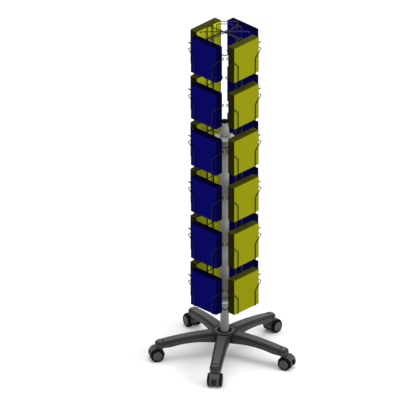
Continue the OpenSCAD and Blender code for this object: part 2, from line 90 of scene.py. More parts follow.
# a socket that takes part in sums
class Reading:
    def __init__(self, sheet, socket):
        self.sheet = sheet
        self.socket = socket

    def __add__(self, other):
        return self.sheet.sum("ADD", self, other)

    def __radd__(self, other):
        return self.sheet.sum("ADD", other, self)

    def __sub__(self, other):
        return self.sheet.sum("SUBTRACT", self, other)

    def __rsub__(self, other):
        return self.sheet.sum("SUBTRACT", other, self)

    def __mul__(self, other):
        return self.sheet.sum("MULTIPLY", self, other)

    def __rmul__(self, other):
        return self.sheet.sum("MULTIPLY", other, self)

    def __truediv__(self, other):
        return self.sheet.sum("DIVIDE", self, other)

    def __rtruediv__(self, other):
        return self.sheet.sum("DIVIDE", other, self)

    def __abs__(self):
        return self.sheet.sum("ABSOLUTE", self)

    def __gt__(self, other):
        return self.sheet.sum("GREATER_THAN", self, other)

    def __lt__(self, other):
        return self.sheet.sum("LESS_THAN", self, other)

    def limited(self):
        return self.sheet.add("ShaderNodeClamp", {}, {"Value": self})


# a node tree that is written as sums; settings go in before the sockets
class Sheet:
    def __init__(self, tree):
        self.tree = tree

    def add(self, kind, settings, sockets, out=None):
        node = self.tree.nodes.new(kind)
        for name, value in settings.items():
            setattr(node, name, value)
        for place, value in sockets.items():
            self.feed(self.pick(node.inputs, place), value)
        return Reading(self, self.pick(node.outputs, out))

    # a socket by number or name; of several with one name only the fitting one is enabled
    def pick(self, sockets, place):
        if isinstance(place, int):
            return sockets[place]
        return next(s for s in sockets if s.enabled and (place is None or s.name == place))

    def feed(self, socket, value):
        if isinstance(value, Reading):
            self.tree.links.new(value.socket, socket)
        elif socket.type == "RGBA":
            socket.default_value = (*value, 1)
        else:
            socket.default_value = value

    def sum(self, operation, *values):
        return self.add("ShaderNodeMath", {"operation": operation}, dict(enumerate(values)))


# one procedural finish on a principled surface
class Finish(Sheet):
    def __init__(self, name, gloss=0.5, metal=0.0):
        self.material = bpy.data.materials.new(name)
        self.material.use_nodes = True
        super().__init__(self.material.node_tree)
        self.surface = self.tree.nodes["Principled BSDF"]
        self.paint("Specular IOR Level", gloss)
        self.paint("Metallic", metal)
        self.place = self.add("ShaderNodeTexCoord", {}, {}, out="Object")

    def axes(self, vector):
        node = self.tree.nodes.new("ShaderNodeSeparateXYZ")
        self.feed(node.inputs[0], vector)
        return [Reading(self, socket) for socket in node.outputs]

    def noise(self, size, detail=2.0, place=None):
        return self.add("ShaderNodeTexNoise", {}, {
            "Vector": place or self.place, "Scale": 1 / size, "Detail": detail}, out="Fac")

    def cells(self, size):
        return self.add("ShaderNodeTexVoronoi", {}, {"Vector": self.place, "Scale": 1 / size}, out="Distance")

    def stretched(self, share):
        return self.add("ShaderNodeMapping", {}, {"Vector": self.place, "Scale": share})

    def blend(self, share, first, second):
        return self.add("ShaderNodeMix", {"data_type": "RGBA"}, {"Factor": share, "A": first, "B": second})

    def attribute(self, name, out="Fac"):
        return self.add("ShaderNodeAttribute", {"attribute_name": name}, {}, out=out)

    # 1 near distance zero, falling to 0 at the given width; a larger core keeps more of it full
    def line(self, distance, width, core=1.7):
        return (core - abs(distance) * (core / width)).limited()

    def paint(self, label, value):
        self.feed(self.surface.inputs[label], value)

    def relief(self, height, depth, strength=1.0):
        self.paint("Normal", self.add("ShaderNodeBump", {}, {
            "Strength": strength, "Distance": depth, "Height": height}))


def tinted(colour, share):
    return tuple(min(1.0, part * share) for part in colour)


# what the pieces share: the rack's order, its fits, and below it their places from the frame
rack = {
    "tiers": 6, "pitch": 0.240,
    "sides": {"front_right": 0, "back_right": 90, "back_left": 180, "front_left": 270},  # degrees
    "arms": 5, "firstArm": 90, "stemCircle": 0.296,
    "stemBore": 0.00555, "fit": 0.00005, "overcut": 0.01,
}


def spanOf(node):
    low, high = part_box(node)
    return {"low": low, "high": high, "radius": high.x, "foot": low.z, "top": high.z}


cardSpan = spanOf("cards_front_right")
pocketSpan = spanOf("pockets_front_right")
spineSpan = spanOf("spine_front_right")
poleSpan = spanOf("pole")
baseSpan = spanOf("star_base")


def turned(degrees):
    return Matrix.Rotation(math.radians(degrees), 4, "Z")


armTurns = [turned(rack["firstArm"] + 360 * n / rack["arms"]) for n in range(rack["arms"])]
stemPlace = Matrix.Translation((rack["stemCircle"], 0, 0))


# edges sharper than the angle stay sharp
def keepMesh(name, mesh, finish, sharpAngle):
    mesh.name = name
    mesh.materials.clear()
    mesh.materials.append(finish.material)
    mesh.shade_smooth()
    mesh.set_sharp_from_angle(angle=math.radians(sharpAngle))
    return linked(name, mesh)


def dress(name, mesh, finish, body, slot, *nodes, sharpAngle=40):
    piece = keepMesh(name, mesh, finish, sharpAngle)
    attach(piece, body)
    if nodes:
        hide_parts(*nodes)


def meshOf(points, faces, edges=()):
    mesh = bpy.data.meshes.new("mesh")
    mesh.from_pydata([tuple(p) for p in points], list(edges), faces)
    mesh.update()
    return mesh


def pointOut(mesh, merge=1e-6):
    work = bmesh.new()
    work.from_mesh(mesh)
    bmesh.ops.remove_doubles(work, verts=work.verts, dist=merge)
    bmesh.ops.recalc_face_normals(work, faces=work.faces)
    work.to_mesh(mesh)
    work.free()
    return mesh


# rounds the corners of an outline: radii has one value for each corner
def softened(points, radii, closed=True, steps=3):
    soft = []
    count = len(points)
    for i, (point, radius) in enumerate(zip(points, radii)):
        here = Vector(point)
        if radius == 0 or (not closed and i in (0, count - 1)):
            soft.append(here)
            continue
        before = (Vector(points[i - 1]) - here).normalized()
        after = (Vector(points[(i + 1) % count]) - here).normalized()
        half = before.angle(after) / 2
        centre = here + (before + after).normalized() * (radius / math.sin(half))
        start = here + before * (radius / math.tan(half)) - centre
        end = here + after * (radius / math.tan(half)) - centre
        for k in range(steps + 1):
            soft.append(centre + start.slerp(end, k / steps).normalized() * radius)
    return soft


# turns an outline of (radius, height) points round Z; a closed outline makes a ring or tube
def latheMesh(outline, closed=False, steps=64, rounds=None, onAxis=1e-7):
    if rounds:
        outline = softened(outline, rounds, closed)
    points, rings, faces = [], [], []
    angles = [math.tau * k / steps for k in range(steps)]
    for radius, height in outline:
        if radius < onAxis:
            rings.append([len(points)] * steps)
            points.append((0, 0, height))
        else:
            rings.append(list(range(len(points), len(points) + steps)))
            points += [(radius * math.cos(a), radius * math.sin(a), height) for a in angles]
    pairs = list(zip(rings, rings[1:] + rings[:1])) if closed else list(zip(rings, rings[1:]))
    for low, high in pairs:
        for k in range(steps):
            corner = [low[k], low[(k + 1) % steps], high[(k + 1) % steps], high[k]]
            corner = [v for n, v in enumerate(corner) if v not in corner[:n]]
            if len(corner) > 2:
                faces.append(corner)
    return pointOut(meshOf(points, faces))


# a plain round bar on Z
def rodMesh(radius, low, high, steps=24):
    return latheMesh([(0, low), (radius, low), (radius, high), (0, high)], steps=steps)


# a closed loft through loops of the same number of points, with its two ends filled
def loftMesh(loops):
    size = len(loops[0])
    points = [p for loop in loops for p in loop]
    faces = [list(range(size)), list(range(len(points) - size, len(points)))]
    for n in range(len(loops) - 1):
        for k in range(size):
            a, b = n * size + k, n * size + (k + 1) % size
            faces.append([a, b, b + size, a + size])
    return pointOut(meshOf(points, faces))


def joinedMesh(meshes):
    work = bmesh.new()
    for mesh in meshes:
        work.from_mesh(mesh)
    joined = bpy.data.meshes.new("mesh")
    work.to_mesh(joined)
    work.free()
    return joined


def movedMesh(mesh, matrix):
    copy = mesh.copy()
    copy.transform(matrix)
    return copy


# each point's own place before the mesh is moved, for a finish that has to know it
def keepPlaces(mesh, name, lift=0.0):
    places = mesh.attributes.new(name, "FLOAT_VECTOR", "POINT")
    places.data.foreach_set("vector", [c for v in mesh.vertices for c in (v.co.x, v.co.y, v.co.z - lift)])
    return mesh


# the mesh that one modifier makes of a mesh
def modified(mesh, kind, settings, inputs=None):
    source = linked("source", mesh)
    step = source.modifiers.new("step", kind)
    for name, value in settings.items():
        setattr(step, name, value)
    for name, value in (inputs or {}).items():
        step[name] = value
    graph = bpy.context.evaluated_depsgraph_get()
    made = bpy.data.meshes.new_from_object(
        source.evaluated_get(graph), preserve_all_data_layers=True, depsgraph=graph)
    bpy.data.objects.remove(source)
    return made


# joins or cuts one closed mesh with others, one after another
def carved(mesh, operation, others):
    for other in others:
        tool = linked("carvingTool", other)
        mesh = modified(mesh, "BOOLEAN", {"operation": operation, "solver": "EXACT", "object": tool})
        bpy.data.objects.remove(tool)
    return mesh


def bevelledMesh(mesh, width, segments=2, angle=35):
    return modified(mesh, "BEVEL", {
        "width": width, "segments": segments, "limit_method": "ANGLE", "angle_limit": math.radians(angle)})


# Geometry Nodes: a tree with named inputs, and the mesh that it grows
def startTree(name, inputs):
    tree = bpy.data.node_groups.new(name, "GeometryNodeTree")
    for label, kind in {"Geometry": "Geometry", **inputs}.items():
        tree.interface.new_socket(label, in_out="INPUT", socket_type="NodeSocket" + kind)
    tree.interface.new_socket("Geometry", in_out="OUTPUT", socket_type="NodeSocketGeometry")
    sheet = Sheet(tree)
    entry = tree.nodes.new("NodeGroupInput")
    given = {socket.name: Reading(sheet, socket) for socket in entry.outputs if socket.name}
    return sheet, given


def endTree(sheet, geometry):
    real = sheet.add("GeometryNodeRealizeInstances", {}, {0: geometry})
    leave = sheet.tree.nodes.new("NodeGroupOutput")
    sheet.tree.links.new(real.socket, leave.inputs[0])
    return sheet.tree


def grown(tree, source, values):
    return modified(source, "NODES", {"node_group": tree}, {
        item.identifier: values[item.name] for item in tree.interface.items_tree
        if item.in_out == "INPUT" and item.name in values})


# bent wire: runs of straight wire with a bend at each corner, repeated up the rack
def bentWireTree():
    sheet, given = startTree("bentWire", {
        "Bend steps": "Int", "Sides": "Int", "Copies": "Int", "Pitch": "Float"})
    curve = sheet.add("GeometryNodeMeshToCurve", {}, {"Mesh": given["Geometry"]})
    bend = sheet.add("GeometryNodeInputNamedAttribute", {"data_type": "FLOAT"}, {"Name": "bend"})
    gauge = sheet.add("GeometryNodeInputNamedAttribute", {"data_type": "FLOAT"}, {"Name": "gauge"})
    curve = sheet.add("GeometryNodeFilletCurve", {"mode": "POLY"}, {
        "Curve": curve, "Count": given["Bend steps"], "Radius": bend})
    ring = sheet.add("GeometryNodeCurvePrimitiveCircle", {"mode": "RADIUS"}, {
        "Resolution": given["Sides"], "Radius": 1.0})
    wire = sheet.add("GeometryNodeCurveToMesh", {}, {
        "Curve": curve, "Profile Curve": ring, "Scale": gauge, "Fill Caps": True})
    step = sheet.add("ShaderNodeCombineXYZ", {}, {"Z": given["Pitch"]})
    spots = sheet.add("GeometryNodeMeshLine", {}, {"Count": given["Copies"], "Offset": step})
    placed = sheet.add("GeometryNodeInstanceOnPoints", {}, {"Points": spots, "Instance": wire})
    return endTree(sheet, placed)


wireTree = bentWireTree()


def runsMesh(runs):
    points, edges, bends, gauges = [], [], [], []
    for run in runs:
        start = len(points)
        count = len(run["points"])
        points += run["points"]
        bends += run["bends"] if "bends" in run else [0.0] * count
        gauges += [run["radius"]] * count
        edges += [(start + k, start + k + 1) for k in range(count - 1)]
        if run.get("closed"):
            edges.append((start + count - 1, start))
    mesh = meshOf(points, [], edges)
    for name, values in (("bend", bends), ("gauge", gauges)):
        mesh.attributes.new(name, "FLOAT", "POINT").data.foreach_set("value", values)
    return mesh


def bentWires(runs, copies=1, pitch=0.0):
    return grown(wireTree, runsMesh(runs), {
        "Bend steps": wires["bendSteps"], "Sides": wires["roundSteps"], "Copies": copies, "Pitch": pitch})


def turnedPoints(points, degrees):
    return [turned(degrees) @ Vector(p) for p in points]


# finishes that more than one piece wears; colours go from clean to dusty or worn
def wireFinish(name, clean, dusty):
    made = Finish(name, gloss=0.08)
    cloud = made.noise(size=0.03, detail=3)
    peel = made.noise(size=0.0012)
    made.paint("Base Color", made.blend(cloud, clean, dusty))
    made.paint("Roughness", 0.34 + peel * 0.22)
    made.relief(peel, depth=0.0001)
    return made


# plain is kept for a finish that marks it further
def moulded(name, clean, worn, grain=0.0011, roughness=0.46, gloss=0.3):
    made = Finish(name, gloss)
    cloud = made.noise(size=0.045, detail=4)
    pebble = made.cells(size=grain)
    made.plain = made.blend(cloud, clean, worn)
    made.paint("Base Color", made.plain)
    made.paint("Roughness", roughness + cloud * 0.12 - pebble * 0.1)
    made.relief(pebble, depth=0.00012)
    return made


framePaint = wireFinish("framePowderCoat", (0.020, 0.020, 0.022), (0.034, 0.034, 0.036))
pocketPaint = wireFinish("pocketPowderCoat", (0.004, 0.004, 0.0045), (0.009, 0.009, 0.0095))
capNylon = moulded("wheelCapNylon", (0.036, 0.036, 0.037), (0.048, 0.048, 0.048), grain=0.0008)
socketNylon = moulded(
    "socketNylon", (0.002, 0.002, 0.0022), (0.005, 0.005, 0.0052), grain=0.0009, roughness=0.6, gloss=0.04)
bushNylon = moulded("bushNylon", (0.56, 0.56, 0.555), (0.64, 0.64, 0.63), grain=0.0009)
print("shared finishes made")


# the pole, its plug and what it stands in; rounds has one radius for each corner of an outline
pole = {
    "wall": 0.002, "rim": 0.0006, "wearWidth": 0.009, "streak": 0.004,
    "paintedLightStart": 0.22, "paintedLightFade": 0.30,  # painted shade at the lower end, painted light up inside the rotor
}
plug = {
    "fit": 0.0001, "crown": 0.0008, "crownWidth": 0.0035, "dimple": 0.006, "slope": 0.001,
    "rounds": [0, 0.001, 0, 0.0006, 0.001, 0.002, 0.0003, 0.0003, 0],
}
socketRing = {
    "wall": 0.005, "flange": 0.016, "rim": 0.0035, "slope": 0.001, "rimDrop": 0.003,
    "lip": 0.004, "lipDrop": 0.0015, "lipRoot": 0.0045,
    "rounds": [0, 0, 0, 0, 0.0008, 0.0006, 0.0006, 0.0006, 0.0005, 0.0005],
}


def poleFinish():
    made = Finish("polePowderCoat")
    z = made.axes(made.place)[2]
    cloud = made.noise(size=0.06, detail=3)
    streaks = made.noise(pole["streak"], 3, made.stretched((1.0, 1.0, 0.04)))
    peel = made.noise(size=0.0016)
    lowerWear = made.line(z - spanOf("lower_bush")["top"], pole["wearWidth"])
    upperWear = made.line(z - spanOf("upper_bush")["top"], pole["wearWidth"])
    wear = ((lowerWear + upperWear) * streaks).limited()
    mottle = cloud * 0.6 + streaks * 0.4
    # painted light and shade: the coat is darker at the lower end and lighter higher up, standing in for the
    # light
    rise = ((z - pole["paintedLightStart"]) / pole["paintedLightFade"]).limited()
    mottleAndPaintedLight = made.blend(rise, made.blend(mottle, (0.17, 0.17, 0.169), (0.22, 0.219, 0.217)),
                      made.blend(mottle, (0.43, 0.425, 0.42), (0.52, 0.515, 0.51)))
    made.paint("Base Color", made.blend(wear, mottleAndPaintedLight, (0.15, 0.15, 0.15)))
    made.paint("Roughness", 0.30 + peel * 0.15 + wear * 0.2)
    made.relief(peel * 0.7 + streaks * 0.3, depth=0.00012)
    return made


def buildPole():
    outer, wall, rim = poleSpan["radius"], pole["wall"], pole["rim"]
    foot, top = poleSpan["foot"], poleSpan["top"]
    outline = [(outer, foot), (outer, top), (outer - wall, top), (outer - wall, foot)]
    mesh = latheMesh(outline, closed=True, steps=72, rounds=[rim] * 4)
    dress("pole_tube", mesh, poleFinish(), "base", "pole_paint", "pole")

    span, inner = spanOf("pole_plug"), outer - wall - plug["fit"]
    low, high, crown = span["foot"], span["top"], span["top"] - plug["crown"]
    mesh = latheMesh([
        (0, low), (inner, low), (inner, top), (outer, top), (outer, crown),
        (outer - plug["crownWidth"], high), (plug["dimple"], high),
        (plug["dimple"] - plug["slope"], crown), (0, crown)
    ], rounds=plug["rounds"])
    dress("pole_end_plug", mesh, socketNylon, "base", "socket_black", "pole_plug")

    span, bore = spanOf("pole_socket"), outer + rack["fit"]
    low, high, wide, shelf = span["foot"], span["top"], span["radius"], span["top"] - socketRing["flange"]
    rim, lip = wide - socketRing["rim"], high - socketRing["lipDrop"]
    root = socketRing["lipRoot"]
    mesh = latheMesh([
        (bore, low), (bore + socketRing["wall"], low), (bore + socketRing["wall"], shelf), (wide, shelf),
        (wide, high), (rim, high), (rim - socketRing["slope"], high - socketRing["rimDrop"]),
        (bore + root, high - root), (bore + socketRing["lip"], lip), (bore, lip)
    ], closed=True, rounds=socketRing["rounds"])
    dress("socket_ring", mesh, socketNylon, "base", "socket_black", "pole_socket")


buildPole()
print("pole made")


# the star base, one moulding: arched arms on a round hub
star = {
    "hubRadius": 0.057, "hubTop": 0.124, "hubFoot": 0.079, "hubRounds": [0.0015, 0.0015, 0.0015],
    "rootWidth": 0.060, "tipWidth": 0.051, "rootDrop": 0.0015, "rootFoot": 0.0784, "arch": 0.007,
    "underArch": 0.011, "archEnd": 0.254, "chamfer": 0.007, "armRound": 0.0012, "stations": 34,
    "bossRadius": 0.027, "tipTop": 0.094, "bossRounds": [0.001, 0.0015, 0.0015],
    "wall": 0.005, "hollowRound": 0.004, "stemBoreTop": 0.08705,
    "poleBore": 0.0251, "socketBore": 0.0331, "boltBore": 0.00505,
    "seam": 0.0040, "bossSeam": 0.0086,
}


def armShare(along):
    start = star["hubRadius"] / 2
    return (along - start) / (rack["stemCircle"] - start)


def armTop(along):
    share = armShare(along)
    root = star["hubTop"] - star["rootDrop"]
    return root + (star["tipTop"] - root) * share + 4 * star["arch"] * share * (1 - share)


def armHalfWidth(along):
    slope = (star["tipWidth"] - star["rootWidth"]) / (rack["stemCircle"] - star["hubRadius"])
    return (star["rootWidth"] + slope * (along - star["hubRadius"])) / 2


def armFoot(along):
    share = (along - star["hubRadius"]) / (star["archEnd"] - star["hubRadius"])
    rise = 4 * star["underArch"] * max(0, share * (1 - share))
    tip = baseSpan["foot"] + 2 * rack["fit"]  # clear of the foot of the round arm end
    return star["rootFoot"] + (tip - star["rootFoot"]) * armShare(along) + rise


def baseFinish():
    made = Finish("starBaseNylon", gloss=0.25)
    x, y, z = made.axes(made.place)
    seam, edge, top = star["seam"], star["chamfer"], star["hubTop"]
    reach = made.sum("SQRT", x * x + y * y)
    half = math.pi / rack["arms"]
    heading = made.sum("WRAP", made.sum("ARCTAN2", y, x) - math.radians(rack["firstArm"]), half, -half)
    along = reach * made.sum("COSINE", heading)
    across = abs(reach * made.sum("SINE", heading))
    onHub = reach < star["hubRadius"]
    onBoss = along > rack["stemCircle"] - star["bossSeam"]
    onArm = (1.0 - onHub) * (1.0 - onBoss)
    past = made.sum("MAXIMUM", along - rack["stemCircle"], 0.0)
    bossReach = made.sum("SQRT", past * past + across * across)
    crest = made.sum("MULTIPLY_ADD", onBoss, star["tipTop"] - armTop(along), armTop(along))
    crest = made.sum("MULTIPLY_ADD", onHub, top - crest, crest)
    ridge = (made.line(across - armHalfWidth(along) + edge, seam) * onArm
             + made.line(bossReach - star["bossRadius"] + edge, seam) * onBoss
             + made.line(reach - star["hubRadius"] + edge, seam) * onHub)
    seams = (ridge * (z > crest - edge * 0.5) + made.line(z - crest + edge, seam)
             + made.line(reach - star["hubRadius"], seam)
             + made.line(along - rack["stemCircle"] + star["bossSeam"], seam))
    seams = (seams * 1.6).limited()
    # painted shade: below the chamfer the flanks take a darker colour than the tops
    paintedShadeFlank = z < crest - edge
    cloud = made.noise(size=0.05, detail=4)
    pebble = made.cells(size=0.0012)
    scuff = ((made.noise(0.009, 6, made.stretched((1.0, 1.0, 2.0))) - 0.6) * 2.0).limited()
    back = made.blend(cloud, (0.064, 0.064, 0.065), (0.084, 0.084, 0.084))
    back = made.blend(scuff, back, (0.12, 0.12, 0.118))
    plain = made.blend(paintedShadeFlank, back, made.blend(cloud, (0.026, 0.026, 0.0265), (0.036, 0.036, 0.036)))
    made.paint("Base Color", made.blend(seams * 0.96, plain, (0.002, 0.002, 0.002)))
    made.paint("Roughness", 0.46 + cloud * 0.14 - pebble * 0.08)
    made.relief(pebble * 0.12 - seams, depth=0.0006, strength=0.8)
    return made


def armLoop(along):
    half, top, foot = armHalfWidth(along), armTop(along), armFoot(along)
    edge = star["chamfer"]
    outline = softened([
        (-half, foot), (half, foot), (half, top - edge), (half - edge, top),
        (edge - half, top), (-half, top - edge)
    ], [star["armRound"]] * 6)
    return [Vector((along, p.x, p.y)) for p in outline]


def hollowMesh(start, end):
    inset = star["wall"]
    floor, roof = baseSpan["foot"] - rack["overcut"], armTop(end) - star["chamfer"] - star["wall"]
    outline = softened([
        (start, inset - armHalfWidth(start)), (end, inset - armHalfWidth(end)),
        (end, armHalfWidth(end) - inset), (start, armHalfWidth(start) - inset)
    ], [star["hollowRound"]] * 4)
    return loftMesh([[Vector((p.x, p.y, height)) for p in outline] for height in (floor, roof)])


def chamferedDrum(radius, foot, top, rounds, steps):
    edge = star["chamfer"]
    return latheMesh([
        (0, foot), (radius, foot), (radius, top - edge), (radius - edge, top), (0, top)
    ], steps=steps, rounds=[0, *rounds, 0])


def buildBase():
    top, foot = star["hubTop"], star["hubFoot"]
    hub = chamferedDrum(star["hubRadius"], foot, top, star["hubRounds"], steps=96)
    first, last, stations = star["hubRadius"] / 2, rack["stemCircle"], star["stations"]
    arm = loftMesh([armLoop(first + (last - first) * n / stations) for n in range(stations + 1)])
    boss = chamferedDrum(
        star["bossRadius"], baseSpan["foot"], star["tipTop"], star["bossRounds"], steps=48)
    boss.transform(stemPlace)
    body = carved(hub, "UNION", [movedMesh(mesh, spot) for spot in armTurns for mesh in (arm, boss)])

    start = star["hubRadius"] + star["wall"]
    end = rack["stemCircle"] - star["bossRadius"] - star["wall"]
    cell = (end - start - star["wall"]) / 2
    stemHole = rodMesh(rack["stemBore"], baseSpan["foot"] - rack["overcut"], star["stemBoreTop"])
    stemHole.transform(stemPlace)
    cuts = (hollowMesh(start, start + cell), hollowMesh(end - cell, end), stemHole)
    floorTop, shelf = poleSpan["foot"], top - socketRing["flange"]
    recess = latheMesh([
        (0, floorTop), (star["poleBore"], floorTop), (star["poleBore"], shelf), (star["socketBore"], shelf),
        (star["socketBore"], top + rack["overcut"]), (0, top + rack["overcut"])
    ])
    boltHole = rodMesh(star["boltBore"], foot - rack["overcut"], floorTop + rack["overcut"])
    body = carved(body, "DIFFERENCE", [
        joinedMesh([movedMesh(mesh, spot) for spot in armTurns for mesh in cuts]), recess, boltHole])
    dress("star_base_moulding", pointOut(body), baseFinish(), "base", "base_nylon", "star_base",
          sharpAngle=30)


buildBase()
print("star base made")


# casters: one of each piece in the stem's own frame, then copied to the five arms
caster = {
    "trail": 0.020, "wheelRadius": 0.031, "width": 0.071, "gap": 0.021,
    "capRadius": 0.022, "axleBore": 0.00305,
}
hood = {
    "gap": 0.001, "wall": 0.0025, "width": 0.049, "webWidth": 0.015, "edge": 0.0007, "slot": 0.023,
    "slotTop": 0.047, "stemBoss": 0.00935, "stemDepth": 0.02005, "over": 0.06, "rimLine": 0.0035,
}
tyre = {
    "lip": 0.002, "lipBevel": 0.0008, "groove": 0.0008, "grooveDepth": 0.0006,
    "rounds": [0, 0.004, 0.0003, 0.0003, 0.0003, 0.004, 0.0006, 0],
}
cap = {
    "hub": 0.008, "slope": 0.001, "dish": 0.002, "dishFloor": 0.003, "rim": 0.002,
    "crown": 0.0035, "crownFoot": 0.0052, "step": 0.0058, "boss": 0.0065, "pin": 0.0045,
    "crownDrop": 0.0004, "stepDrop": 0.0011, "faceDrop": 0.0007, "pinDrop": 0.0002, "boreEnd": 0.0035,
    "rounds": [0, 0, 0.0004, 0.0004, 0, 0, 0.0008, 0.0008, 0.0003, 0.0003, 0.0008, 0.001, 0, 0, 0],
}


def tyreFinish():
    made = Finish("tyreRubber", gloss=0.05)
    cloud = made.noise(size=0.012, detail=4)
    grain = made.noise(size=0.0007, detail=3)
    made.paint("Base Color", made.blend(cloud, (0.0015, 0.0015, 0.0016), (0.004, 0.004, 0.0042)))
    made.paint("Roughness", 0.6 + grain * 0.2)
    made.relief(grain, depth=0.00008)
    return made


# near black where the hood is hollow, as painted shade, and dark along its two rims
def hoodFinish():
    made = moulded("casterHoodNylon", (0.036, 0.036, 0.037), (0.052, 0.052, 0.052))
    x, y, z = made.axes(made.attribute("hoodPlace", "Vector"))
    forward, upward = x - caster["trail"], z - caster["wheelRadius"]
    reach = made.sum("SQRT", forward * forward + upward * upward)
    skin = caster["wheelRadius"] + hood["gap"] + hood["wall"] - hood["edge"]
    paintedShadeHollow = (reach < skin) * (abs(y) < (hood["slot"] + hood["edge"]) / 2)
    rim = made.line(abs(y) - hood["width"] / 2, hood["rimLine"])
    dark = (paintedShadeHollow + rim * 0.8).limited()
    made.paint("Base Color", made.blend(dark, made.plain, (0.0015, 0.0015, 0.0016)))
    return made


# an arc round the axle in the (X, Z) plane, between two angles
def axleArc(radius, start, end, steps=56):
    angles = [start + (end - start) * k / steps for k in range(steps + 1)]
    along, up = caster["trail"], caster["wheelRadius"]
    return [(along + radius * math.cos(a), up + radius * math.sin(a)) for a in angles]


# an (X, Z) outline that is thick along Y
def plateMesh(outline, half):
    return loftMesh([[(x, -half, z) for x, z in outline], [(x, half, z) for x, z in outline]])


def hoodMesh():
    axle, over = caster["wheelRadius"], hood["over"]
    cavity = axle + hood["gap"]
    outer, middle = cavity + hood["wall"], cavity + hood["wall"] / 2
    top = axle + outer
    foot = {radius: -math.asin(axle / 2 / radius) for radius in (outer, middle, cavity)}
    shell = plateMesh(axleArc(outer, foot[outer], math.pi) + axleArc(cavity, math.pi, foot[cavity]),
                      hood["width"] / 2)
    web = plateMesh(axleArc(middle, foot[middle], math.pi - foot[middle]), hood["webWidth"] / 2)
    boss = rodMesh(hood["stemBoss"], axle, top, steps=40)
    bore = rodMesh(rack["stemBore"], top - hood["stemDepth"], top + rack["overcut"], steps=32)
    start, low = caster["trail"] + caster["capRadius"], -rack["overcut"]
    slot = plateMesh([(start, low), (over, low), (over, hood["slotTop"]), (start, hood["slotTop"])],
                     hood["slot"] / 2)
    axleHole = rodMesh(caster["axleBore"], -over, over)
    lift = Matrix.Translation((caster["trail"], 0, axle))
    axleHole.transform(lift @ Matrix.Rotation(math.radians(90), 4, "X"))
    body = carved(carved(shell, "UNION", [web, boss]), "DIFFERENCE", [bore, slot, axleHole])
    return keepPlaces(bevelledMesh(pointOut(body), hood["edge"]), "hoodPlace")


# outlines of (radius, height) with height measured out from the wheel's inner face
def tyreMesh():
    wide = (caster["width"] - caster["gap"]) / 2 - cap["rim"]
    radius, inner, groove = caster["wheelRadius"], caster["capRadius"], tyre["groove"]
    return latheMesh([
        (inner, 0), (radius, 0), (radius, wide / 2 - groove), (radius - tyre["grooveDepth"], wide / 2),
        (radius, wide / 2 + groove), (radius, wide), (inner + tyre["lip"], wide),
        (inner, wide - tyre["lipBevel"])
    ], closed=True, steps=80, rounds=tyre["rounds"])


def capMesh():
    wide = (caster["width"] - caster["gap"]) / 2
    radius, bore, closed = caster["capRadius"], caster["axleBore"], wide - cap["boreEnd"]
    return latheMesh([
        (bore, 0), (cap["hub"], 0), (cap["hub"] + cap["slope"], cap["dish"]),
        (radius - 2 * cap["rim"], cap["dishFloor"]), (radius - cap["rim"], 0), (radius, 0),
        (radius, wide - cap["rim"]), (radius - cap["crown"], wide),
        (radius - cap["crownFoot"], wide - cap["crownDrop"]), (radius - cap["step"], wide - cap["stepDrop"]),
        (cap["boss"], wide - cap["faceDrop"]), (cap["pin"], wide - cap["pinDrop"]),
        (0, wide - cap["pinDrop"]), (0, closed), (bore, closed)
    ], closed=True, steps=72, rounds=cap["rounds"])


def buildCasters():
    hoodShape, tyreShape, capShape = hoodMesh(), tyreMesh(), capMesh()
    nylon, rubber = hoodFinish(), tyreFinish()
    for number, turn in enumerate(armTurns, 1):
        spot = turn @ stemPlace
        dress(f"hood_{number}", movedMesh(hoodShape, spot), nylon,
              f"caster_{number}", "hood_nylon", f"caster_hood_{number}", sharpAngle=30)
        axle = spot @ Matrix.Translation((caster["trail"], 0, caster["wheelRadius"]))
        for mark, facing in (("a", 90), ("b", -90)):
            wheel = axle @ Matrix.Rotation(math.radians(facing), 4, "X")
            wheel = wheel @ Matrix.Translation((0, 0, caster["gap"] / 2))
            dress(f"tyre_{number}{mark}", movedMesh(tyreShape, wheel), rubber,
                  f"wheel_{number}{mark}", "tyre_black", f"caster_tyre_{number}{mark}")
            dress(f"wheel_cap_{number}{mark}", movedMesh(capShape, wheel), capNylon,
                  f"wheel_{number}{mark}", "wheel_grey", f"caster_wheel_{number}{mark}")


buildCasters()
print("casters made")


# bearing discs and bushes
bearing = {
    "sleeve": 0.02505, "lip": 0.03205, "lipThickness": 0.004, "rings": 5200.0,  # radians of ripple a metre
    "discRounds": [0.0004, 0.0008, 0.0008, 0.0004], "bushRounds": [0.0004, 0.0008, 0.0006, 0, 0.0008, 0.0006],
}


def discFinish():
    made = Finish("discPaint", gloss=0.45)
    x, y = made.axes(made.place)[:2]
    reach = made.sum("SQRT", x * x + y * y)
    cloud = made.noise(size=0.02, detail=4)
    peel = made.noise(size=0.0012)
    rings = made.sum("SINE", reach * bearing["rings"]) * 0.5 + 0.5
    made.paint("Base Color", made.blend(cloud, (0.88, 0.88, 0.87), (0.95, 0.95, 0.94)))
    made.paint("Roughness", 0.32 + peel * 0.2)
    made.relief(peel * 0.6 + rings * 0.4, depth=0.0001)
    return made


def buildBearings():
    paint = discFinish()
    hole, sleeve, lip = bearing["sleeve"] + rack["fit"], bearing["sleeve"], bearing["lip"]
    bore = poleSpan["radius"] + rack["fit"]
    for level in ("lower", "upper"):
        disc, bush = spanOf(f"{level}_disc"), spanOf(f"{level}_bush")
        mesh = latheMesh([
            (hole, disc["foot"]), (disc["radius"], disc["foot"]), (disc["radius"], disc["top"]),
            (hole, disc["top"])
        ], closed=True, steps=96, rounds=bearing["discRounds"])
        dress(f"{level}_bearing_disc", mesh, paint, "rotor", "disc_paint", f"{level}_disc")
        low, high, seat = bush["foot"], bush["top"], bush["foot"] + bearing["lipThickness"]
        mesh = latheMesh([
            (bore, low), (lip, low), (lip, seat), (sleeve, seat), (sleeve, high), (bore, high)
        ], closed=True, steps=72, rounds=bearing["bushRounds"])
        dress(f"{level}_flanged_bush", mesh, bushNylon, "rotor", "bush_nylon", f"{level}_bush")


buildBearings()
print("bearings made")


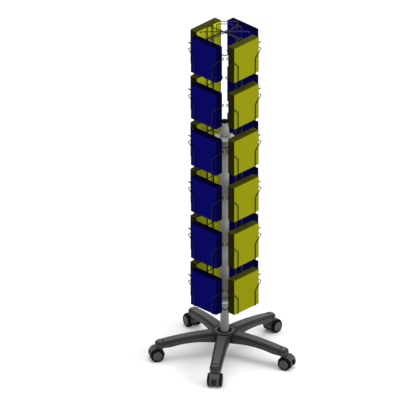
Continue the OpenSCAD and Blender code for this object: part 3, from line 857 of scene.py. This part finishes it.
# the wire frame
wires = {
    "frame": 0.0025, "thin": 0.002,  # radii
    "spineWidth": 0.038, "ringBend": 0.014, "stayLength": 0.160, "stayHeight": 0.021, "rungDrop": 0.024,
    "upperRingDrop": 0.053, "weldSink": 0.0004, "spokeStart": 0.03005,
    "barLength": 0.224, "barEnd": 0.009, "barTurn": 45, "hoopBend": 0.006,
    "hoops": ((0.119, 0.053), (0.072, 0.040)),  # width and height of each
    "bendSteps": 5, "roundSteps": 12,
}
spineReach = spineSpan["low"].x + wires["frame"]
ringReach = spineReach - 2 * wires["frame"]
crossHeight = spineSpan["top"] - wires["frame"]
tierHeights = [cardSpan["foot"] + rack["pitch"] * n for n in range(rack["tiers"])]


def levelRing(height):
    corners = [(1, 1), (-1, 1), (-1, -1), (1, -1)]
    return {"points": [(a * ringReach, b * ringReach, height) for a, b in corners],
            "bends": [wires["ringBend"]] * 4, "radius": wires["frame"], "closed": True}


def frameWires(name, runs, node):
    dress(name, bentWires(runs), framePaint, "rotor", "frame_paint", node, sharpAngle=50)


def buildSpine(side, degrees):
    half, thin, thick = wires["spineWidth"] / 2, wires["thin"], wires["frame"]
    foot = spineSpan["foot"] + thick
    corners = [(-half, foot), (half, foot), (half, crossHeight), (-half, crossHeight)]
    runs = [{"points": [(spineReach, across, level) for across, level in corners],
             "bends": [2 * thick] * 4, "radius": thick, "closed": True}]
    for height in tierHeights[1:]:
        level = height - wires["rungDrop"]
        runs.append({"points": [(spineReach, -half, level), (spineReach, half, level)], "radius": thin})
    stayReach = pocketSpan["low"].x + thin - wires["weldSink"]
    reach = wires["stayLength"] / 2
    for height in (tierHeights[0], tierHeights[-1]):
        level = height + wires["stayHeight"]
        runs.append({"points": [(stayReach, -reach, level), (stayReach, reach, level)], "radius": thin})
    for run in runs:
        run["points"] = turnedPoints(run["points"], degrees)
    frameWires(f"spine_wires_{side}", runs, f"spine_{side}")


def buildRings():
    thin = wires["thin"]
    for level, disc in (("lower", "lower_disc"), ("middle", "upper_disc")):
        height = spanOf(disc)["top"] + thin
        spoke = [(wires["spokeStart"], 0, height), (ringReach, 0, height)]
        runs = [levelRing(height)]
        for degrees in rack["sides"].values():
            runs.append({"points": turnedPoints(spoke, degrees), "radius": thin})
        frameWires(f"{level}_ring_wires", runs, f"{level}_frame")
    frameWires("upper_ring_wire", [levelRing(cardSpan["top"] - wires["upperRingDrop"])], "upper_ring")


def buildTop():
    thick, thin = wires["frame"], wires["thin"]
    bar = crossHeight + 2 * thick - wires["weldSink"]
    reach = spineReach - thick
    runs = [{"points": turnedPoints([(-reach, 0, crossHeight), (reach, 0, crossHeight)], degrees),
             "radius": thick} for degrees in (0, 90)]
    half, end = wires["barLength"] / 2, bar - wires["barEnd"]
    points = [(-half, 0, end), (-half, 0, bar), (half, 0, bar), (half, 0, end)]
    runs.append({"points": turnedPoints(points, wires["barTurn"]),
                 "bends": [0, 2 * thick, 2 * thick, 0], "radius": thick})
    frameWires("top_cross_wires", runs, "top_cross")
    foot, bend = bar + thick, wires["hoopBend"]
    hoops = []
    for width, height in wires["hoops"]:
        half, top = width / 2, bar + height
        points = [(-half, 0, foot), (-half, 0, top), (half, 0, top), (half, 0, foot)]
        hoops.append({"points": turnedPoints(points, wires["barTurn"]), "bends": [0, bend, bend, 0],
                      "radius": thin})
    frameWires("sign_holder_hoops", hoops, "sign_holder")


for side, degrees in rack["sides"].items():
    buildSpine(side, degrees)
buildRings()
buildTop()
print("wire frame made")


# the wire pockets
pocket = {
    "frontWidth": 0.114, "sideWidth": 0.188, "frontHeight": 0.079, "sideHeight": 0.115,
    "rearBend": 0.012, "knee": 0.0026, "bend": 0.006, "frontGap": 0.00015,
}


def buildPockets(side, degrees):
    radius = wires["thin"]
    rear, front = pocketSpan["low"].x + radius, pocketSpan["high"].x - radius - pocket["frontGap"]
    halfSide, halfFront = pocket["sideWidth"] / 2, pocket["frontWidth"] / 2
    shoulder, lip = cardSpan["foot"] + pocket["sideHeight"], cardSpan["foot"] + pocket["frontHeight"]
    tray = pocketSpan["foot"] + radius
    left = [
        (rear, -halfSide, shoulder), (front, -halfSide, shoulder), (front, -halfFront, lip),
        (front, -halfFront, tray), (rear, -halfFront, tray)
    ]
    bends = [pocket["rearBend"], pocket["knee"], pocket["knee"], pocket["bend"], pocket["bend"]]
    right = [(reach, -across, level) for reach, across, level in reversed(left)]
    run = {"points": turnedPoints(left + right, degrees), "bends": bends + bends[::-1],
           "radius": radius, "closed": True}
    mesh = bentWires([run], rack["tiers"], rack["pitch"])
    dress(f"pocket_wires_{side}", mesh, pocketPaint, "rotor", "pocket_paint", f"pockets_{side}",
          sharpAngle=50)


for side, degrees in rack["sides"].items():
    buildPockets(side, degrees)
print("pockets made")


# weld spots where the wires cross: flat beads, each turned by a fixed seed
weld = {"radius": 0.0026, "flatness": 0.8, "tilt": 0.4, "turn": 3.1, "spread": 0.15, "seed": 4}


def weldTree():
    sheet, given = startTree("weldSpots", {"Radius": "Float", "Flatness": "Float", "Seed": "Int"})
    bead = sheet.add("GeometryNodeMeshIcoSphere", {}, {"Radius": given["Radius"], "Subdivisions": 2})
    bead = sheet.add("GeometryNodeSetShadeSmooth", {}, {"Geometry": bead})
    most = (weld["tilt"], weld["tilt"], weld["turn"])
    turn = sheet.add("FunctionNodeRandomValue", {"data_type": "FLOAT_VECTOR"}, {
        "Min": [-part for part in most], "Max": most, "Seed": given["Seed"]})
    size = sheet.add("FunctionNodeRandomValue", {"data_type": "FLOAT"}, {
        "Min": 1 - weld["spread"], "Max": 1 + weld["spread"], "Seed": given["Seed"]})
    flat = sheet.add("ShaderNodeCombineXYZ", {}, {"X": size, "Y": size, "Z": size * given["Flatness"]})
    placed = sheet.add("GeometryNodeInstanceOnPoints", {}, {
        "Points": given["Geometry"], "Instance": bead, "Rotation": turn, "Scale": flat})
    return endTree(sheet, placed)


# the spots come in pairs: reach, half the distance across, height
def buildWelds():
    half, thick = wires["spineWidth"] / 2, wires["frame"]
    face, rim = spineReach + thick, ringReach + thick
    tray = pocketSpan["foot"] + wires["thin"] - cardSpan["foot"]
    pairs = []
    for height in tierHeights:
        pairs += [(face, half, height + pocket["sideHeight"]), (face, half, height + tray)]
    pairs += [(face, half, height + wires["stayHeight"]) for height in (tierHeights[0], tierHeights[-1])]
    pairs += [(spineReach, half - thick, height - wires["rungDrop"]) for height in tierHeights[1:]]
    for node in ("lower_frame", "middle_frame", "upper_ring"):
        pairs.append((rim, half, spanOf(node)["top"] - thick))
    spots = []
    for degrees in rack["sides"].values():
        for reach, across, level in pairs:
            spots += turnedPoints([(reach, -across, level), (reach, across, level)], degrees)
    mesh = grown(weldTree(), meshOf(spots, []), {
        "Radius": weld["radius"], "Flatness": weld["flatness"], "Seed": weld["seed"]})
    dress("weld_spots", mesh, framePaint, "rotor", "frame_paint", sharpAngle=60)


buildWelds()
print("welds made")


# the cards: a folded card and its envelope, again and again through each stack
card = {
    "count": 12, "cardShare": 0.46, "loose": 0.03,  # shares of the spacing
    "corner": 0.0025, "foldRound": 0.0004, "edgeRound": 0.0002, "slack": 0.0002,
    "sway": 0.0004, "envelopeInset": 0.0012, "rim": 0.0016, "plateInset": 0.009, "plateWidth": 0.0008,
    "topBand": 0.003, "hatch": 0.0115, "hatchShift": 0.4, "hatchContrast": 3.0,
    "seed": 11, "envelopeSeed": 7, "toneSeed": 3,
}
cardWidth = cardSpan["high"].y - cardSpan["low"].y
cardHeight = cardSpan["top"] - tierHeights[-1]
stackDepth = cardSpan["high"].x - cardSpan["low"].x


def paperFinish(name, face, back, side, edge, envelope):
    made = Finish(name, gloss=0.02)
    sideways, upward = made.axes(made.attribute("cardPlace", "Vector"))[1:]
    cut, tone = made.attribute("cutEdge"), made.attribute("sheetTone")
    isEnvelope = made.attribute("isEnvelope")
    toRim = made.sum("MINIMUM", cardWidth / 2 - abs(sideways), cardHeight / 2 - abs(upward))
    # painted shade: a dark band round each card's face stands in for the shade in the gaps between sheets
    rim = made.line(toRim, card["rim"])
    plate = made.line(toRim - card["plateInset"], card["plateWidth"])
    fibre = made.noise(size=0.0009, detail=5)
    cloud = made.noise(size=0.02, detail=4)
    front = made.blend(cloud, tinted(face, 0.94), tinted(face, 1.04))
    front = made.blend(rim * 0.9, front, tinted(face, 0.04))
    front = made.blend(plate * 0.12, front, tinted(face, 0.5))
    # painted light: the envelopes take the back colour, much lighter than the card faces, standing in for
    # light on the shaded inner faces
    flat = made.blend(isEnvelope, front, made.blend(cloud, tinted(back, 0.92), tinted(back, 1.06)))
    # painted light and shade: light and dark ribs along the top edges stand in for the shading of deckled
    # edges
    ripple = made.sum("SINE", sideways * (math.tau / card["hatch"]) + tone * card["hatchShift"])
    hatch = (ripple * card["hatchContrast"] + 0.5).limited()
    topEdge = made.blend(isEnvelope, made.blend(tone, tinted(edge, 0.5), edge), envelope)
    topEdge = made.blend(hatch * 0.9, topEdge, tinted(edge, 0.08))
    # painted shade: cut edges below the top band take the much darker side colour
    onTop = upward > cardHeight / 2 - card["topBand"]
    cutColour = made.blend(onTop, made.blend(tone, tinted(side, 0.7), tinted(side, 1.3)), topEdge)
    made.paint("Base Color", made.blend(cut, flat, cutColour))
    made.paint("Roughness", 0.62 + fibre * 0.2)
    made.relief(fibre * 0.25 - plate, depth=0.00025, strength=0.6)
    return made


# one sheet standing on Z: closed, with rounded corners, but nearly sharp at a fold on the left
def sheetMesh(name, thickness, width, height, folded):
    corner = card["corner"]
    left = card["foldRound"] if folded else corner
    outline = softened([(-width / 2, 0), (width / 2, 0), (width / 2, height), (-width / 2, height)],
                       [left, corner, corner, left])
    half = thickness / 2
    soft = min(card["edgeRound"], half / 2)
    loops = []
    for depth, inset in ((-half, soft), (-half + soft, 0), (half - soft, 0), (half, soft)):
        across, upward, middle = 1 - 2 * inset / width, 1 - 2 * inset / height, height / 2
        loops.append([Vector((depth, p.x * across, middle + (p.y - middle) * upward)) for p in outline])
    mesh = loftMesh(loops)
    flat = [1.0 if abs(face.normal.x) < 0.9 else 0.0 for face in mesh.polygons]
    mesh.attributes.new("cutEdge", "FLOAT", "FACE").data.foreach_set("value", flat)
    return linked(name, keepPlaces(mesh, "cardPlace", height / 2))


# a stack is a row of sheets along X; the stacks climb the rack
def stackTree():
    sheet, given = startTree("cardStack", {
        "Card": "Object", "Envelope": "Object", "Sheets": "Int", "Spacing": "Float",
        "Envelope shift": "Float", "Sway": "Float", "Tiers": "Int", "Pitch": "Float",
        "Turn": "Float", "First": "Vector", "Seed": "Int"})
    step = sheet.add("ShaderNodeCombineXYZ", {}, {"X": given["Spacing"]})
    row = sheet.add("GeometryNodeMeshLine", {}, {"Count": given["Sheets"], "Offset": step})
    parts = []
    for label, shift, flag in (("Card", 0.0, 0.0), ("Envelope", given["Envelope shift"], 1.0)):
        item = sheet.add("GeometryNodeObjectInfo", {}, {"Object": given[label]}, out="Geometry")
        seed = given["Seed"] + flag * card["envelopeSeed"]
        sway = sheet.add("FunctionNodeRandomValue", {"data_type": "FLOAT"}, {
            "Min": given["Sway"] * -1, "Max": given["Sway"], "Seed": seed})
        tone = sheet.add("FunctionNodeRandomValue", {"data_type": "FLOAT"}, {
            "Seed": seed + card["toneSeed"]})
        offset = sheet.add("ShaderNodeCombineXYZ", {}, {"X": shift, "Y": sway})
        line = sheet.add("GeometryNodeSetPosition", {}, {"Geometry": row, "Offset": offset})
        placed = sheet.add("GeometryNodeInstanceOnPoints", {}, {"Points": line, "Instance": item})
        for name, value in (("sheetTone", tone), ("isEnvelope", flag)):
            placed = sheet.add("GeometryNodeStoreNamedAttribute", {
                "data_type": "FLOAT", "domain": "INSTANCE"
            }, {"Geometry": placed, "Name": name, "Value": value})
        parts.append(placed)
    both = sheet.tree.nodes.new("GeometryNodeJoinGeometry")
    for part in parts:
        sheet.tree.links.new(part.socket, both.inputs[0])
    climb = sheet.add("ShaderNodeCombineXYZ", {}, {"Z": given["Pitch"]})
    floors = sheet.add("GeometryNodeMeshLine", {}, {
        "Count": given["Tiers"], "Start Location": given["First"], "Offset": climb})
    stacks = sheet.add("GeometryNodeInstanceOnPoints", {}, {
        "Points": floors, "Instance": Reading(sheet, both.outputs[0])})
    stacks = sheet.add("GeometryNodeRealizeInstances", {}, {0: stacks})
    turn = sheet.add("ShaderNodeCombineXYZ", {}, {"Z": given["Turn"]})
    stacks = sheet.add("GeometryNodeTransform", {}, {"Geometry": stacks, "Rotation": turn})
    return endTree(sheet, stacks)


def buildCards():
    spacing, inset = stackDepth / card["count"], card["envelopeInset"]
    gap, cardThick = spacing * card["loose"], spacing * card["cardShare"]
    envelopeThick = spacing - 2 * gap - cardThick
    width = cardWidth - 2 * card["sway"]
    folded = sheetMesh("foldedCard", cardThick, width, cardHeight - card["slack"], True)
    envelope = sheetMesh("envelope", envelopeThick, width - 2 * inset, cardHeight - 2 * inset, False)
    # back is lighter as painted light, side is darker as painted shade
    olive = paperFinish(
        "oliveCardPaper", face=(0.212, 0.217, 0.002), back=(0.62, 0.64, 0.010),
        side=(0.006, 0.006, 0.004), edge=(0.14, 0.15, 0.02), envelope=(0.26, 0.27, 0.09))
    navy = paperFinish(
        "navyCardPaper", face=(0.0008, 0.0004, 0.108), back=(0.002, 0.001, 0.24),
        side=(0.001, 0.0008, 0.038), edge=(0.002, 0.001, 0.070), envelope=(0.004, 0.004, 0.075))
    tree = stackTree()
    for n, (side, degrees) in enumerate(rack["sides"].items()):
        paper, slot = ((olive, "card_olive"), (navy, "card_navy"))[n % 2]
        mesh = grown(tree, meshOf([(0, 0, 0)], []), {
            "Card": folded, "Envelope": envelope, "Sheets": card["count"], "Spacing": -spacing,
            "Envelope shift": -(cardThick + envelopeThick) / 2 - gap, "Sway": card["sway"],
            "Tiers": rack["tiers"], "Pitch": rack["pitch"], "Turn": math.radians(degrees),
            "First": (cardSpan["high"].x - cardThick / 2, 0, cardSpan["foot"]), "Seed": card["seed"] + n})
        dress(f"card_stacks_{side}", mesh, paper, "rotor", slot, f"cards_{side}", sharpAngle=30)
    for source in (folded, envelope):
        bpy.data.objects.remove(source)


buildCards()
print("cards made")


# what stays as the frame has it: hidden or turned steel pieces and the collar
def steelFinish():
    made = Finish("zincPlatedSteel", metal=1.0)
    grain = made.noise(0.0008, 3, made.stretched((1.0, 1.0, 9.0)))
    cloud = made.noise(size=0.012, detail=2)
    bright = (0.55, 0.55, 0.56)
    made.paint("Base Color", made.blend(cloud, tinted(bright, 0.8), bright))
    made.paint("Roughness", 0.28 + grain * 0.25)
    made.relief(grain, depth=0.00005)
    return made


def dressFrame():
    collar = moulded(
        "collarPaint", (0.20, 0.20, 0.202), (0.26, 0.26, 0.258), grain=0.0010, roughness=0.34)
    steel = steelFinish()
    for name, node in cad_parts.items():
        finish = collar if name == "support_collar" else steel
        node.data.materials.clear()
        node.data.materials.append(finish.material)


dressFrame()
print("frame dressed")


# floor and light
studio = {
    "floorSize": 14.0, "world": 0.74,
    "lamps": (
        # place, size, watts
        ((0.0, 0.0, 9.0), 8.0, 430.0),
        ((4.8, 1.8, 3.0), 2.4, 150.0),
        ((-2.6, -4.6, 2.4), 3.0, 20.0),
    ),
    "aim": (0, 0, 0.75),
}


def floorFinish():
    made = Finish("paleFloor", gloss=0.1)
    cloud = made.noise(size=0.8, detail=3)
    made.paint("Base Color", made.blend(cloud, (0.93, 0.93, 0.93), (0.96, 0.96, 0.96)))
    made.paint("Roughness", 0.7 + cloud * 0.1)
    return made


def buildStudio():
    half = studio["floorSize"] / 2
    corners = [(-half, -half, 0), (half, -half, 0), (half, half, 0), (-half, half, 0)]
    keepMesh("floor", meshOf(corners, [(0, 1, 2, 3)]), floorFinish(), sharpAngle=40)
    world = bpy.data.worlds.new("studioAir")
    world.use_nodes = True
    back = world.node_tree.nodes["Background"]
    back.inputs["Color"].default_value = (1, 1, 1, 1)
    back.inputs["Strength"].default_value = studio["world"]
    scene.world = world
    for n, (place, size, watts) in enumerate(studio["lamps"]):
        data = bpy.data.lights.new(f"softBox{n}", "AREA")
        data.size, data.energy = size, watts
        aimed(f"softBox{n}", data, place, Vector(place) - Vector(studio["aim"]))


buildStudio()
print("studio made")
